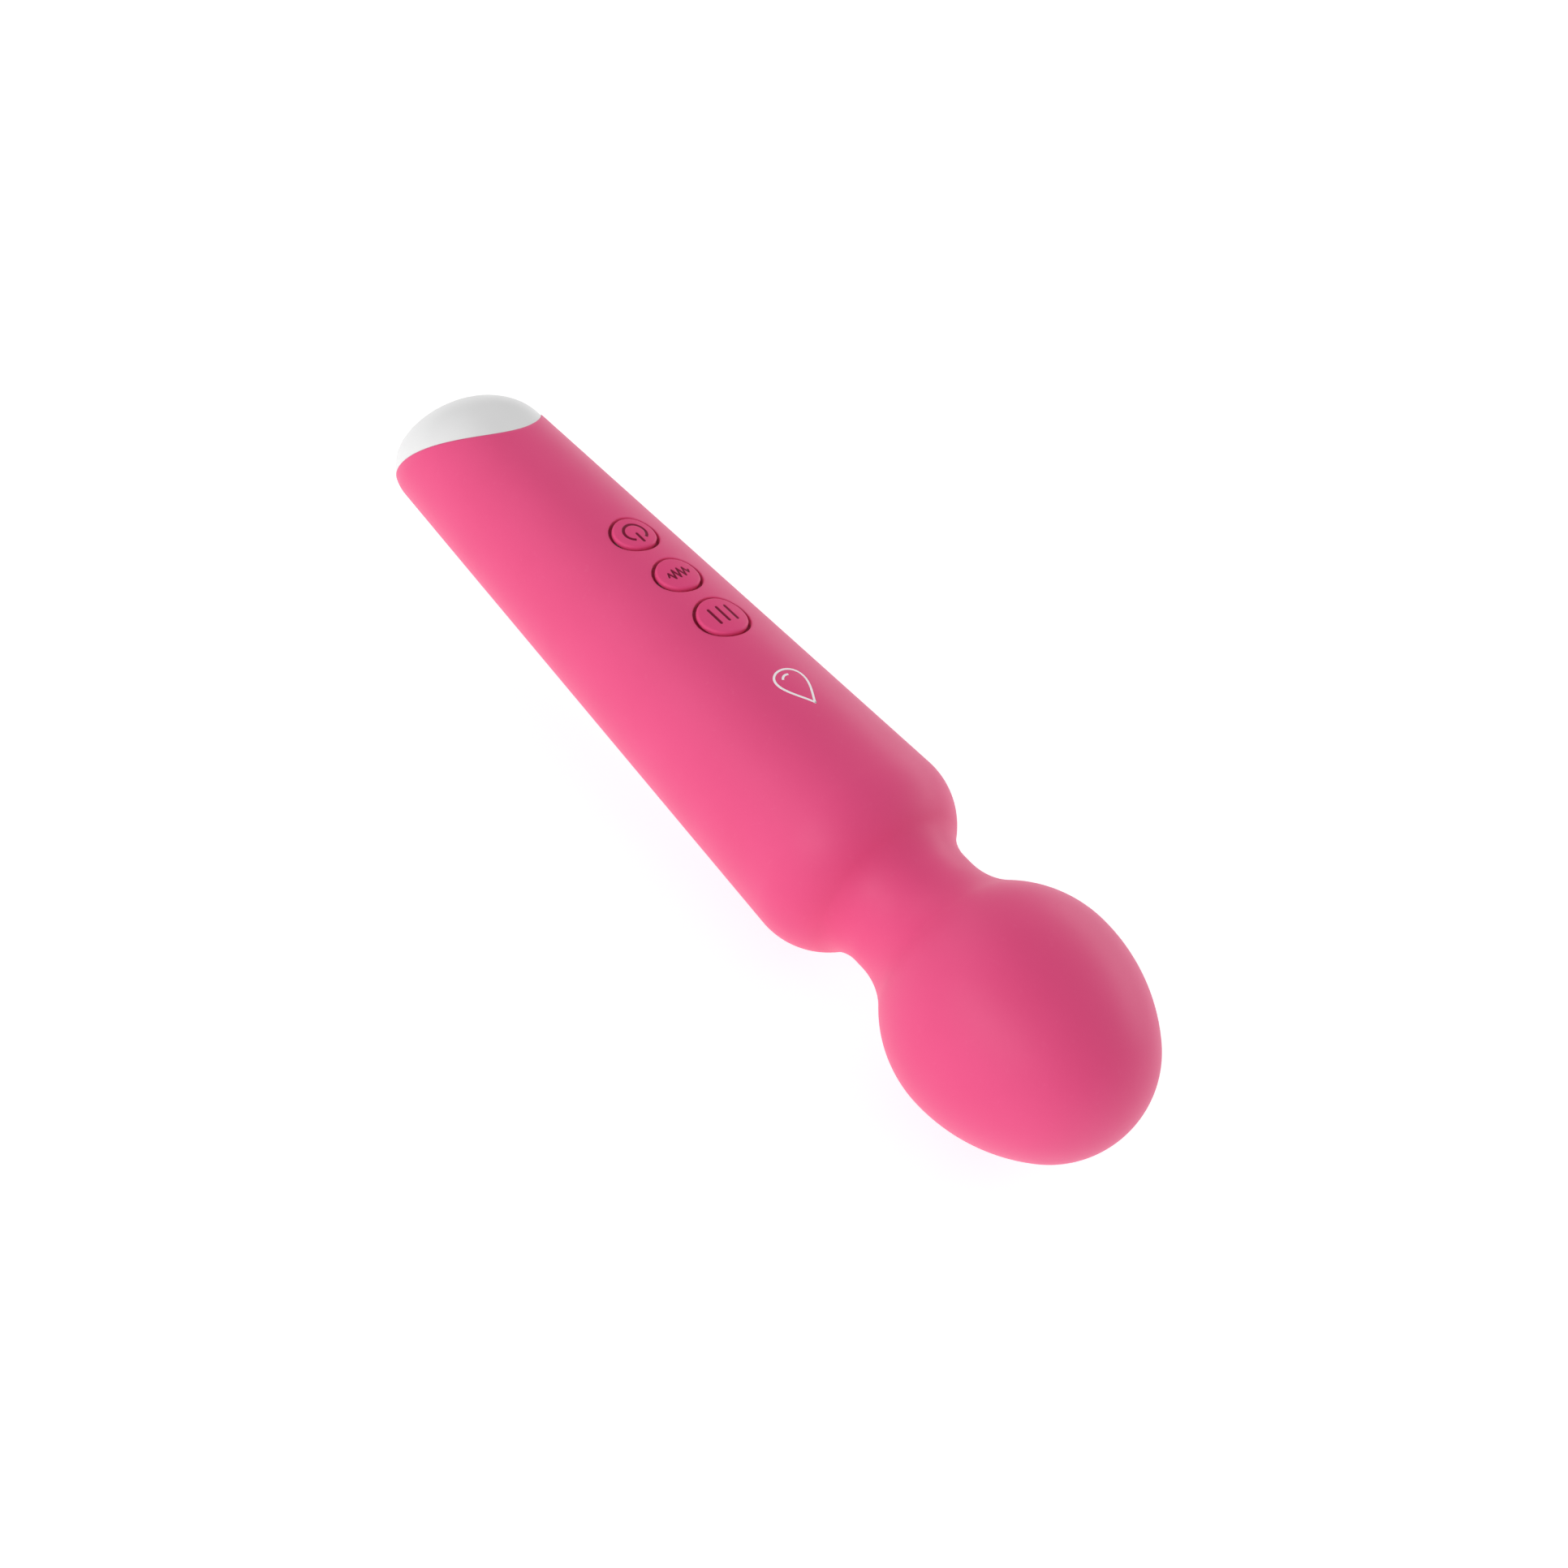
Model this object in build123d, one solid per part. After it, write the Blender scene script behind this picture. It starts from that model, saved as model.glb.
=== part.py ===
# Cordless wand massager lying on its back, in millimetres.
# +X runs along the wand from the tail to the head, +Z is the button side and Y is the width.
# Every sub-part is drawn about the wand's own axis, with x = 0 at the tail, and is moved to the
# resting place by "at_rest" when it is written.
from build123d import *
from math import hypot, sqrt
import os

# Outside of the wand
overall_length = 197.8
head_radius = 22.1
handle_radius_at_tail = 13.92
handle_taper = 0.0493
shoulder_station = 126.9
shoulder_round = 13.5
neck_radius = 13.0
neck_rear_round = 8.3
neck_front_round = 14.5
head_station = 169.6
head_rear_round = 23.5
head_front_round = 34.0
tail_corner_station = 13.75
tail_corner_round = 12.0
tail_crown_round = 30.0
tail_slant = 0.373
tail_join = 36.0
tail_rim_step = 0.03

# Parting line between skin and end cap: a round cut across the width
cap_cut_x = 44.9
cap_cut_z = -20.1
cap_cut_radius = 40.4
cap_gap = 0.12
cap_inset = 0.08
cap_wall = 2.2
cap_flange = 1.6
lip_length = 5.0
lip_wall = 1.4
seal_thickness = 1.2

# Charging seat in the tail face, measured along and across that face
pad_length = 12.0
pad_width = 6.0
pad_depth = 0.9
contact_radius = 1.25
contact_spacing = 5.2
contact_proud = 0.2
contact_end = 4.9
magnet_radius = 1.6
magnet_spacing = 11.2
magnet_depths = (3.35, 4.8)
charge_board_size = (8.4, 6.0, 1.0)
charge_board_lift = 2.0
charge_lead_start = 9.0
charge_lead_sides = (4.0, 6.4)
fit_gap = 0.02

# Walls
skin = 2.2
skin_clearance = 0.05
casing_wall = 1.8
casing_out = skin + skin_clearance
casing_in = casing_out + casing_wall
skin_split_rear = 139.0
skin_split_front = 152.0
casing_front_end = 139.5
head_casing_start = 149.5
casing_split_gap = 0.05
joint_gap = 0.05

# Screws that hold the casing halves together
handle_screws = ((44.0, 10.2), (44.0, -10.2), (106.0, 11.8), (106.0, -11.8))
head_screws = ((169.6, 16.3), (169.6, -16.3))
screw_radius = 1.0
screw_head_radius = 1.5
screw_head_height = 1.3
screw_reach = 4.0
boss_radius = 2.1
head_boss_radius = 2.6
boss_height = 7.0

# Buttons
button_names = ("power", "pattern", "speed")
button_stations = (58.3, 70.9, 83.6)
groove_radii = (4.55, 4.55, 5.14)
groove_half_width = 0.17
button_underside_gap = 0.75
key_flange_radius = 3.2
key_flange = 0.8
key_stem_radius = 1.5
key_clearance = 0.06
switch_side = 6.0
switch_height = 3.2
plunger_radius = 1.6
plunger_rise = 0.6
plunger_depth = 1.2
plunger_travel_room = 0.6

# Electronics
board_start = 50.0
board_end = 101.0
board_width = 18.0
board_bottom = 5.0
board_thickness = 1.6
board_screws = ((53.0, 6.5), (53.0, -6.5), (98.0, 6.5), (98.0, -6.5))
board_screw_radius = 0.9
board_screw_head_radius = 1.6
board_screw_head_height = 1.1
board_screw_reach = 3.2
board_hole_gap = 0.1
board_boss_radius = 1.8
chip_station = 92.0
chip_size = (6.0, 6.0, 1.0)
chip_stand_off = 0.1
chip_pins = 5
chip_pin_pitch = 1.1
chip_pin_size = (0.4, 7.6, 0.5)
capacitor_stations = (60.0, 64.0, 68.0, 72.0, 76.0, 80.0)
capacitor_size = (2.0, 1.2, 0.9)
capacitor_offset = 6.4
coil_station = 94.0
coil_side = 6.0
coil_height = 2.6
coil_hole_radius = 1.4
battery_radius = 7.0
battery_length = 50.0
battery_start = 28.0
battery_drop = 3.0
battery_crimp = 0.8
battery_button_radius = 2.8
battery_button_height = 0.8
battery_rim = 0.4
cradle_wall = 0.9
cradle_margin = 3.0
cradle_window_starts = (8.0, 24.0)
cradle_window = (12.0, 8.0)
foam_span = (58.0, 76.0)
foam_width = 9.0
tab_width = 4.0
tab_thicknesses = (0.45, 0.4)
tab_reach_down = 3.0
tab_reaches_up = (5.0, 4.0)
wire_radius = 0.6

# Motor and head
motor_radius = 12.0
motor_start = 157.0
motor_end = 183.0
can_wall = 1.0
shaft_radius = 1.0
bush_radius = 2.6
running_gap = 0.02
armature_radius = 8.2
weight_radius = 8.2
weight_start = 184.4
weight_length = 5.6
weight_hub_radius = 3.0
shaft_overhang = 0.8
shaft_tail = 1.5
sleeve_thickness = 1.2
sleeve_span = (158.0, 181.5)
sleeve_groove_stations = (166.0, 171.5)
sleeve_groove_width = 2.0
sleeve_groove_floor = 0.6
rib_stations = (160.5, 177.0)
rib_width = 2.0
bell_thickness = 1.6
bell_step = 0.4
terminal_length = 1.8
terminal_width = 1.8
terminal_half_height = 1.2
terminal_offset = 6.0
bush_front_span = (-1.2, 0.6)
magnet_span = (160.0, 178.0)
magnet_air_gap = 1.0
magnet_parting = 8.0
brush_span = (158.2, 160.0)
brush_width = 3.6
brush_half_height = 1.2
brush_offset = 4.85
brush_bore_radius = 3.1
core_stack = (162.0, 176.0)
motor_poles = 3
slot_mouth = (1.6, 4.0)
slot_mouth_depth = 0.6
slot_pocket = (5.6, 3.2)
slot_pocket_radius = 4.6
coil_block = (16.4, 5.2, 2.8)
commutator_span = (157.6, 160.6)
commutator_radius = 3.02
commutator_slit = (0.4, 1.6)
commutator_slit_radius = 2.6

# Neck link
core_radius = 8.3
core_bore = 2.6
core_start = 134.0
core_end = 153.0
core_bulge_radius = 10.6
core_bulge = (139.9, 149.1)
collar_wall = 0.95
collar_flange = 1.2
rear_collar_flange_radius = 11.2
front_collar_flange_radius = 10.1

at_rest = Pos(-overall_length / 2, 0, head_radius)
parts = {}


def handle_line(x):
    """Outside radius of the straight handle."""
    return handle_radius_at_tail + handle_taper * x


def toward(centre, other, distance):
    """The point at a distance from centre in the direction of other."""
    length = hypot(other[0] - centre[0], other[1] - centre[1])
    step = distance / length
    return (centre[0] + step * (other[0] - centre[0]), centre[1] + step * (other[1] - centre[1]))


def round_arc(centre, start, end):
    """The short arc about centre from start to end."""
    radius = hypot(start[0] - centre[0], start[1] - centre[1])
    chord_middle = ((start[0] + end[0]) / 2, (start[1] + end[1]) / 2)
    return ThreePointArc(start, toward(centre, chord_middle, radius), end)


def front_outline(inset):
    """Handle, shoulder, neck and head as tangent lines and arcs, all moved in by inset."""
    slope = sqrt(1 + handle_taper**2)
    shoulder = (shoulder_station, handle_line(shoulder_station) - shoulder_round * slope)
    neck_rear_y = neck_radius + neck_rear_round
    reach = sqrt((shoulder_round + neck_rear_round) ** 2 - (neck_rear_y - shoulder[1]) ** 2)
    neck_rear = (shoulder_station + reach, neck_rear_y)
    head_rear = (head_station, head_radius - head_rear_round)
    neck_front_y = neck_radius + neck_front_round
    reach = sqrt((head_rear_round + neck_front_round) ** 2 - (neck_front_y - head_rear[1]) ** 2)
    neck_front = (head_station - reach, neck_front_y)
    head_front = (head_station, head_radius - head_front_round)
    nose_length = overall_length - head_station
    drop = head_front[1]
    nose_round = (head_front_round**2 - nose_length**2 - drop**2) / (2 * (head_front_round - nose_length))
    nose = (overall_length - nose_round, 0)
    start = (tail_join, handle_line(tail_join) - inset * slope)
    lift = (shoulder_round - inset) / slope
    shoulder_top = (shoulder[0] - handle_taper * lift, shoulder[1] + lift)
    shoulder_end = toward(shoulder, neck_rear, shoulder_round - inset)
    neck_a = (neck_rear[0], neck_radius - inset)
    neck_b = (neck_front[0], neck_radius - inset)
    head_start = toward(head_rear, neck_front, head_rear_round - inset)
    widest = (head_station, head_radius - inset)
    belly_end = toward(head_front, nose, head_front_round - inset)
    tip = (overall_length - inset, 0)
    return [
        Line(start, shoulder_top),
        round_arc(shoulder, shoulder_top, shoulder_end),
        round_arc(neck_rear, shoulder_end, neck_a),
        Line(neck_a, neck_b),
        round_arc(neck_front, neck_b, head_start),
        round_arc(head_rear, head_start, widest),
        round_arc(head_front, widest, belly_end),
        round_arc(nose, belly_end, tip),
        Line(tip, (tail_join, 0)),
        Line((tail_join, 0), start),
    ]


def tail_outline(inset):
    """The straight handle, a corner round and a crown, before the end is slanted."""
    slope = sqrt(1 + handle_taper**2)
    corner = (tail_corner_station, handle_line(tail_corner_station) - tail_corner_round * slope)
    crown_x = corner[0] + sqrt((tail_crown_round - tail_corner_round) ** 2 - corner[1] ** 2)
    far = 2 * tail_join
    lift = (tail_corner_round - inset) / slope
    corner_top = (corner[0] - handle_taper * lift, corner[1] + lift)
    corner_end = toward((crown_x, 0), corner, tail_crown_round - inset)
    pole = (crown_x - tail_crown_round + inset, 0)
    return [
        round_arc((crown_x, 0), pole, corner_end),
        round_arc(corner, corner_end, corner_top),
        Line(corner_top, (far, handle_line(far) - inset * slope)),
        Line((far, handle_line(far) - inset * slope), (far, 0)),
        Line((far, 0), pole),
    ]


def turned(lines):
    """The solid of revolution about the wand's axis of a closed half outline."""
    return revolve(make_face(lines), Axis.X, 360)


def slab(x_low, x_high):
    """A block across the whole wand between two stations."""
    return Pos((x_low + x_high) / 2, 0, 0) * Box(x_high - x_low, 80, 80)


def slanted_tail(inset):
    """The tail end, sheared along the wand so that its end face leans toward the buttons.
    It is a hair slimmer than the handle, so that the two meet in a clean rim."""
    straight = turned(tail_outline(inset + tail_rim_step))
    shear = Matrix([[1, 0, tail_slant, 0], [0, 1, 0, 0], [0, 0, 1, 0], [0, 0, 0, 1]])
    offset = handle_taper * tail_slant * (handle_line(tail_join) - inset)
    leaning = Pos(0, 0, offset) * straight.transform_geometry(shear)
    return leaning & slab(-10, tail_join)


def envelope(inset):
    """The whole outside of the wand, moved in by inset."""
    return slanted_tail(inset) + turned(front_outline(inset))


def cap_cut(growth):
    """The round cutter of the cap's parting line: what is inside it belongs to the skin."""
    cutter = Cylinder(cap_cut_radius + growth, 90, rotation=(90, 0, 0))
    stretch = Pos(overall_length / 2, 0, 0) * Box(overall_length, 90, 2 * (cap_cut_radius + growth))
    return Pos(cap_cut_x, 0, cap_cut_z) * (cutter + stretch)


def rod(x_low, x_high, radius, y=0.0, z=0.0):
    """A round bar along the wand."""
    return Pos((x_low + x_high) / 2, y, z) * Cylinder(radius, x_high - x_low, rotation=(0, 90, 0))


def ring(x_low, x_high, outer, inner):
    """A tube along the wand's axis."""
    return rod(x_low, x_high, outer) - rod(x_low - 1, x_high + 1, inner)


def post(x, y, z_low, z_high, radius):
    """A round bar across the wand, along Z."""
    return Pos(x, y, (z_low + z_high) / 2) * Cylinder(radius, z_high - z_low)


def block(x_low, x_high, width, z_low, z_high, y=0.0):
    """A box between stations and heights."""
    size = Box(x_high - x_low, width, z_high - z_low)
    return Pos((x_low + x_high) / 2, y, (z_low + z_high) / 2) * size


def wire(points):
    """A round lead with soft corners through the points."""
    legs = [hypot(*(b - a for a, b in zip(p, q))) for p, q in zip(points, points[1:])]
    rounds = [0.4 * min(a, b) for a, b in zip(legs, legs[1:])]
    path = FilletPolyline(*points, radius=rounds)
    return sweep(Plane(path @ 0, z_dir=path % 0) * Circle(wire_radius), path=path)


def shell(outer, inner):
    """The wall between two insets of the outside."""
    return envelope(outer) - envelope(inner)


def front_half(shape):
    """The button side of a shape."""
    return shape & Pos(overall_length / 2, 0, 50 + casing_split_gap / 2) * Box(300, 100, 100)


def rear_half(shape):
    """The back of a shape."""
    return shape & Pos(overall_length / 2, 0, -50 - casing_split_gap / 2) * Box(300, 100, 100)


def button_top(x):
    """Height of the casing's outside under a button."""
    return handle_line(x) - casing_out


# Skin: one silicone sleeve, divided where it bends


def handle_skin(sleeve):
    body = sleeve & cap_cut(0) & slab(-5, skin_split_rear - joint_gap)
    for x, radius in zip(button_stations, groove_radii):
        body -= post(x, 0, 5, 30, radius + groove_half_width)
    return body


def neck_skin(sleeve):
    return sleeve & slab(skin_split_rear + joint_gap, skin_split_front - joint_gap)


def head_skin(sleeve):
    return sleeve & slab(skin_split_front + joint_gap, overall_length + 5)


# Casing: two halves screwed together from the back


def boss_bores(x, y):
    """Clearance hole and counterbore of one screw in the rear half, pilot hole in the front half."""
    pilot = post(x, y, -1, boss_height - 1, screw_radius + fit_gap)
    clearance = post(x, y, -screw_reach - 1, 1, screw_radius + 0.1)
    counterbore = post(x, y, -30, -screw_reach, screw_head_radius + 0.1)
    return pilot + clearance + counterbore


def bosses(places, radius):
    """Solid screw posts across the casing, trimmed to its wall."""
    posts = [post(x, y, -boss_height, boss_height, radius) for x, y in places]
    return Compound(posts) & envelope(casing_out + casing_wall / 2)


def handle_casing():
    """Both halves of the handle's casing in one, before they are parted."""
    wall = shell(casing_out, casing_in) & cap_cut(-seal_thickness) & slab(0, casing_front_end)
    return wall + bosses(handle_screws, boss_radius)


def front_casing(casing):
    half = front_half(casing)
    inside = envelope(casing_out + casing_wall / 2)
    board_top = board_bottom + board_thickness
    for x, y in board_screws:
        half += post(x, y, board_top + casing_split_gap, 16, board_boss_radius) & inside
        half -= post(x, y, board_bottom, board_top + 3.6, board_screw_radius + fit_gap)
    for x, y in handle_screws:
        half -= boss_bores(x, y)
    for x in button_stations:
        half -= post(x, 0, 5, 30, key_stem_radius + key_clearance)
    return half


def rear_casing(casing):
    half = rear_half(casing)
    for x, y in handle_screws:
        half -= boss_bores(x, y)
    return half


def screw(x, y):
    """A small pan-head screw driven in from the back."""
    head = post(x, y, -screw_reach - screw_head_height, -screw_reach, screw_head_radius)
    slot = Pos(x, y, -screw_reach - screw_head_height) * Box(2 * screw_head_radius, 0.4, 0.9)
    return head + post(x, y, -screw_reach, screw_reach, screw_radius) - slot


def screws(places):
    return Compound([screw(x, y) for x, y in places])


# Tail: hard cap, seal and charging seat


def tail_face():
    """Plane on the slanted end face, with its Z pointing out of the tail and its X along the width."""
    outline = tail_outline(0)
    pole = outline[0] @ 0
    offset = handle_taper * tail_slant * handle_line(tail_join)
    return Plane(origin=(pole.X, 0, offset), x_dir=(0, 1, 0), z_dir=(-1, 0, tail_slant))


def pad_recess():
    """Oval recess that centres the magnetic charging plug."""
    outline = SlotOverall(pad_length, pad_width)
    return extrude(tail_face().offset(-pad_depth) * outline, 5)


def tail_pins(spacing, radius, depth_low, depth_high):
    """Two round pins side by side, square to the tail face."""
    face = tail_face()
    discs = [Pos(side * spacing / 2, 0) * Circle(radius) for side in (-1, 1)]
    return [extrude(face.offset(-depth_high) * disc, depth_high - depth_low) for disc in discs]


def end_cap():
    outside = envelope(cap_inset)
    keep = slab(-5, cap_cut_x)
    wall = (outside - envelope(cap_wall)) - cap_cut(cap_gap)
    flange = (outside - envelope(casing_in + lip_wall)) & cap_cut(cap_flange)
    lip = envelope(casing_in + casing_split_gap) - envelope(casing_in + lip_wall)
    lip = (lip & cap_cut(cap_flange)) - cap_cut(-lip_length)
    body = (wall & keep) + ((flange - cap_cut(cap_gap)) & keep) + (lip & keep)
    body -= pad_recess()
    for pin in tail_pins(contact_spacing, contact_radius + fit_gap, 0, contact_end):
        body -= pin
    return body


def end_cap_seal():
    ring_wall = shell(casing_out + casing_split_gap, casing_in - casing_split_gap)
    return (ring_wall & cap_cut(0)) - cap_cut(-seal_thickness + joint_gap) & slab(-5, cap_cut_x)


def charge_contacts():
    return Compound(tail_pins(contact_spacing, contact_radius, pad_depth - contact_proud, contact_end))


def charge_magnets():
    return Compound(tail_pins(magnet_spacing, magnet_radius, *magnet_depths))


def charge_board():
    length, width, thickness = charge_board_size
    start = contact_end + joint_gap + thickness
    outline = Pos(0, -charge_board_lift) * Rectangle(length, width)
    return extrude(tail_face().offset(-start) * outline, thickness)


def charge_leads():
    paths = []
    for side in (-1, 1):
        near, far = (side * offset for offset in charge_lead_sides)
        rear = (charge_lead_start, near, 0.6)
        paths.append([rear, (15.0, near, 2.5), (24.0, far, 6.6), (board_start - joint_gap, far, 5.8)])
    return Compound([wire(path) for path in paths])


# Electronics on the control board


def control_board():
    body = block(board_start, board_end, board_width, board_bottom, board_bottom + board_thickness)
    for x, y in board_screws:
        body -= post(x, y, 0, 2 * board_bottom, board_screw_radius + board_hole_gap)
    return body


def board_fixings():
    under = board_bottom - joint_gap
    tip = board_bottom + board_thickness + board_screw_reach
    fixings = []
    for x, y in board_screws:
        head = post(x, y, under - board_screw_head_height, under, board_screw_head_radius)
        fixings.append(head + post(x, y, under, tip, board_screw_radius))
    return Compound(fixings)


def control_chip():
    top = board_bottom + board_thickness
    length, width, thickness = chip_size
    pin_length, pin_span, pin_height = chip_pin_size
    low = top + chip_stand_off
    body = block(chip_station - length / 2, chip_station + length / 2, width, low, low + thickness)
    for pin in range(chip_pins):
        x = chip_station + (pin - (chip_pins - 1) / 2) * chip_pin_pitch
        body += block(x - pin_length / 2, x + pin_length / 2, pin_span, top, top + pin_height)
    return body


def board_components():
    """Capacitors in two rows on the upper side, and the boost coil under the board."""
    top = board_bottom + board_thickness
    length, width, height = capacitor_size
    chips = [
        block(x, x + length, width, top, top + height, side * capacitor_offset)
        for x in capacitor_stations
        for side in (-1, 1)
    ]
    low = board_bottom - coil_height
    coil = block(coil_station - coil_side / 2, coil_station + coil_side / 2, coil_side, low, board_bottom)
    coil -= post(coil_station, 0, low - 0.4, low + 1.0, coil_hole_radius)
    return Compound(chips + [coil])


def switch_body(x):
    """Push switch with a well for its plunger."""
    low = board_bottom + board_thickness
    body = block(x - switch_side / 2, x + switch_side / 2, switch_side, low, low + switch_height)
    well_depth = plunger_depth + plunger_travel_room
    top = low + switch_height
    return body - post(x, 0, top - well_depth, top + 1, plunger_radius + key_clearance)


def switch_plunger(x):
    top = board_bottom + board_thickness + switch_height
    return post(x, 0, top - plunger_depth, top + plunger_rise, plunger_radius)


def button_key(x):
    """Hard stem under a soft button: a flange in the button and a stem down to the plunger."""
    low = button_top(x) + button_underside_gap
    plunger_top = board_bottom + board_thickness + switch_height + plunger_rise
    flange = post(x, 0, low, low + key_flange, key_flange_radius)
    return flange + post(x, 0, plunger_top, low, key_stem_radius)


def button_cap(x, groove_radius, outside):
    """Soft button, flush with the handle and separated from it by the ring groove."""
    low = button_top(x) + button_underside_gap
    pad = outside & post(x, 0, low, 30, groove_radius - groove_half_width)
    return pad - post(x, 0, low - 1, low + key_flange, key_flange_radius)


# Battery


def battery_cell():
    z = -battery_drop
    end = battery_start + battery_length
    button_start = end - battery_button_height
    can = rod(battery_start, button_start - battery_rim, battery_radius, 0, z)
    crimp = rod(button_start - battery_rim, button_start, battery_radius - battery_crimp, 0, z)
    return can + crimp + rod(button_start, end, battery_button_radius, 0, z)


def battery_cradle():
    """Half tube with windows that holds the cell against the rear casing."""
    z = -battery_drop
    low = battery_start + cradle_margin
    high = battery_start + battery_length - cradle_margin
    window_length, window_width = cradle_window
    tube = rod(low, high, battery_radius + casing_split_gap + cradle_wall, 0, z)
    tube -= rod(low - 1, high + 1, battery_radius + casing_split_gap, 0, z)
    tube &= block(low, high, 40, -30, z)
    for start in cradle_window_starts:
        tube -= block(low + start, low + start + window_length, window_width, -30, z)
    return tube


def battery_foam():
    low = battery_radius - battery_drop + casing_split_gap
    return block(*foam_span, foam_width, low, board_bottom - casing_split_gap)


def battery_tabs():
    z = -battery_drop
    low = z - tab_reach_down
    rear = block(battery_start - tab_thicknesses[0], battery_start, tab_width, low, z + tab_reaches_up[0])
    end = battery_start + battery_length
    front = block(end, end + tab_thicknesses[1], tab_width, low, z + tab_reaches_up[1])
    return Compound([rear, front])


def battery_leads():
    tab_rear = battery_start - tab_thicknesses[0]
    tab_front = battery_start + battery_length + tab_thicknesses[1]
    rear = [
        (tab_rear, 0, 0.5),
        (25.0, 0, 0.5),
        (25.0, 2.0, 6.2),
        (38.0, 3.0, 6.2),
        (board_start - joint_gap, 3.0, 5.8),
    ]
    front = [(tab_front, 0, -2.0), (86.0, 0, -2.0), (86.0, 0, board_bottom - joint_gap)]
    return Compound([wire(rear), wire(front)])


# Neck: a rubber link held by a collar in each casing


def neck_core():
    body = rod(core_start, core_end, core_radius) + rod(*core_bulge, core_bulge_radius)
    return body - rod(core_start - 1, core_end + 1, core_bore)


def collar(x_low, x_high, flange_low, flange_radius):
    """Metal collar around one end of the rubber link, with a flange that its casing captures."""
    bore = core_radius + casing_split_gap
    body = ring(x_low, x_high, bore + collar_wall, bore)
    return body + ring(flange_low, flange_low + collar_flange, flange_radius, bore)


def rear_collar():
    return collar(core_start, casing_front_end, core_start, rear_collar_flange_radius)


def front_collar():
    flange_low = core_end - collar_flange
    return collar(head_casing_start, core_end, flange_low, front_collar_flange_radius)


def motor_leads():
    """Two leads from the board through the bore of the neck to the motor's terminals."""
    paths = []
    for side in (-1, 1):
        near = 1.2 * side
        start = (board_end + joint_gap, 3.0 * side, board_bottom + board_thickness / 2)
        path = [start, (112.0, 3.0 * side, 5.0), (126.0, near, 0), (154.25, near, 0), (154.25, 5.1 * side, 0)]
        paths.append(path)
    return Compound([wire(path) for path in paths])


# Head: casing halves around the motor


def head_casing():
    """Both halves of the head's casing in one, with two ribs that hold the motor's sleeve."""
    wall = shell(casing_out, casing_in) & slab(head_casing_start, overall_length)
    sleeve_radius = motor_radius + sleeve_thickness + 2 * joint_gap
    rib_space = envelope(casing_out + casing_wall / 2)
    for x in rib_stations:
        wall += ring(x, x + rib_width, head_radius, sleeve_radius) & rib_space
    return wall + bosses(head_screws, head_boss_radius)


def head_half(casing, half):
    body = half(casing)
    for x, y in head_screws:
        body -= boss_bores(x, y)
    return body


def motor_can():
    body = ring(motor_start, motor_end, motor_radius, motor_radius - can_wall)
    return body + ring(motor_end - can_wall, motor_end, motor_radius, bush_radius + fit_gap)


def motor_end_bell():
    low = motor_start - bell_thickness
    return ring(low, motor_start - fit_gap, motor_radius - bell_step, bush_radius + fit_gap)


def motor_terminals():
    x = motor_start - bell_thickness
    half = terminal_half_height
    span = (x - terminal_length, x)
    return Compound([block(*span, terminal_width, -half, half, side * terminal_offset) for side in (-1, 1)])


def bush(x_low, x_high):
    """Sintered bronze bush, pressed in place, with the shaft running in it."""
    return ring(x_low, x_high, bush_radius, shaft_radius + running_gap)


def motor_magnets():
    """Two curved magnets on the inside of the can."""
    outer = motor_radius - can_wall - joint_gap
    tube = ring(*magnet_span, outer, armature_radius + magnet_air_gap)
    middle = sum(magnet_span) / 2
    return tube - Pos(middle, 0, 0) * Box(20, magnet_parting, 40)


def motor_brushes():
    """Two carbon brushes that bear on the commutator."""
    half = brush_half_height
    blocks = [block(*brush_span, brush_width, -half, half, side * brush_offset) for side in (-1, 1)]
    return Compound(blocks) - rod(brush_span[0] - 1, brush_span[1] + 1, brush_bore_radius)


def motor_sleeve():
    inner = motor_radius + joint_gap
    body = ring(*sleeve_span, inner + sleeve_thickness, inner)
    for x in sleeve_groove_stations:
        body -= ring(x, x + sleeve_groove_width, inner + sleeve_thickness + 1, inner + sleeve_groove_floor)
    return body


def motor_shaft():
    return rod(motor_start - shaft_tail, weight_start + weight_length + shaft_overhang, shaft_radius)


def armature():
    """Three-pole laminated core."""
    stack = ring(*core_stack, armature_radius, shaft_radius)
    middle = sum(core_stack) / 2
    for pole in range(motor_poles):
        slot = Pos(middle, 0, armature_radius - slot_mouth_depth) * Box(20, *slot_mouth)
        pocket = Pos(middle, 0, slot_pocket_radius) * Box(20, *slot_pocket)
        stack -= Rot(360 / motor_poles * pole, 0, 0) * (slot + pocket)
    return stack


def armature_windings():
    """Copper coils that fill the pockets of the core and show at both of its ends."""
    coils = []
    for pole in range(motor_poles):
        coil = Pos(sum(core_stack) / 2, 0, slot_pocket_radius) * Box(*coil_block)
        coils.append(Rot(360 / motor_poles * pole, 0, 0) * coil)
    return Compound(coils)


def commutator():
    """Three copper segments around the shaft."""
    body = ring(*commutator_span, commutator_radius, shaft_radius)
    slit = Pos(sum(commutator_span) / 2, 0, commutator_slit_radius) * Box(4, *commutator_slit)
    for segment in range(motor_poles):
        body -= Rot(360 / motor_poles * (segment + 0.5), 0, 0) * slit
    return body


def eccentric_weight():
    """Half disc of heavy metal on the shaft, hanging down at rest."""
    x_high = weight_start + weight_length
    hub = ring(weight_start, x_high, weight_hub_radius, shaft_radius)
    half = ring(weight_start, x_high, weight_radius, shaft_radius) & block(weight_start, x_high, 40, -20, 0)
    return hub + half


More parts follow.
